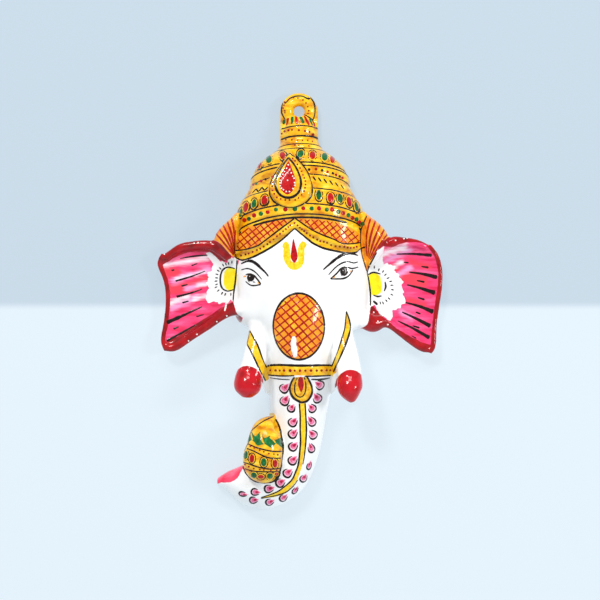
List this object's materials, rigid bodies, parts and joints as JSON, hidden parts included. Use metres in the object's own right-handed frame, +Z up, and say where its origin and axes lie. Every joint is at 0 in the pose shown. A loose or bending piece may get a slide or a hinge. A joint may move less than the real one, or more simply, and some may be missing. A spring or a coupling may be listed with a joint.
{
  "type": "ganesha mask",
  "caption": "Hollow-backed cast wall mask of an elephant-headed figure with tiered crown, open ears, tusks and curled trunk, hung by a cast eye",
  "frame": {"origin": "On the wall plane, in the middle of the hanging hole at the top", "axes": "+Z up along the mask's height, +X to the right as seen from the front, +Y into the wall; the face looks along -Y"},
  "size_m": [0.185, 0.0387, 0.2699],
  "materials": {
    "enamel": "gloss enamel paint on cast aluminium"
  },
  "bodies": {
    "root": {"mask": "enamel"}
  },
  "joints": []
}
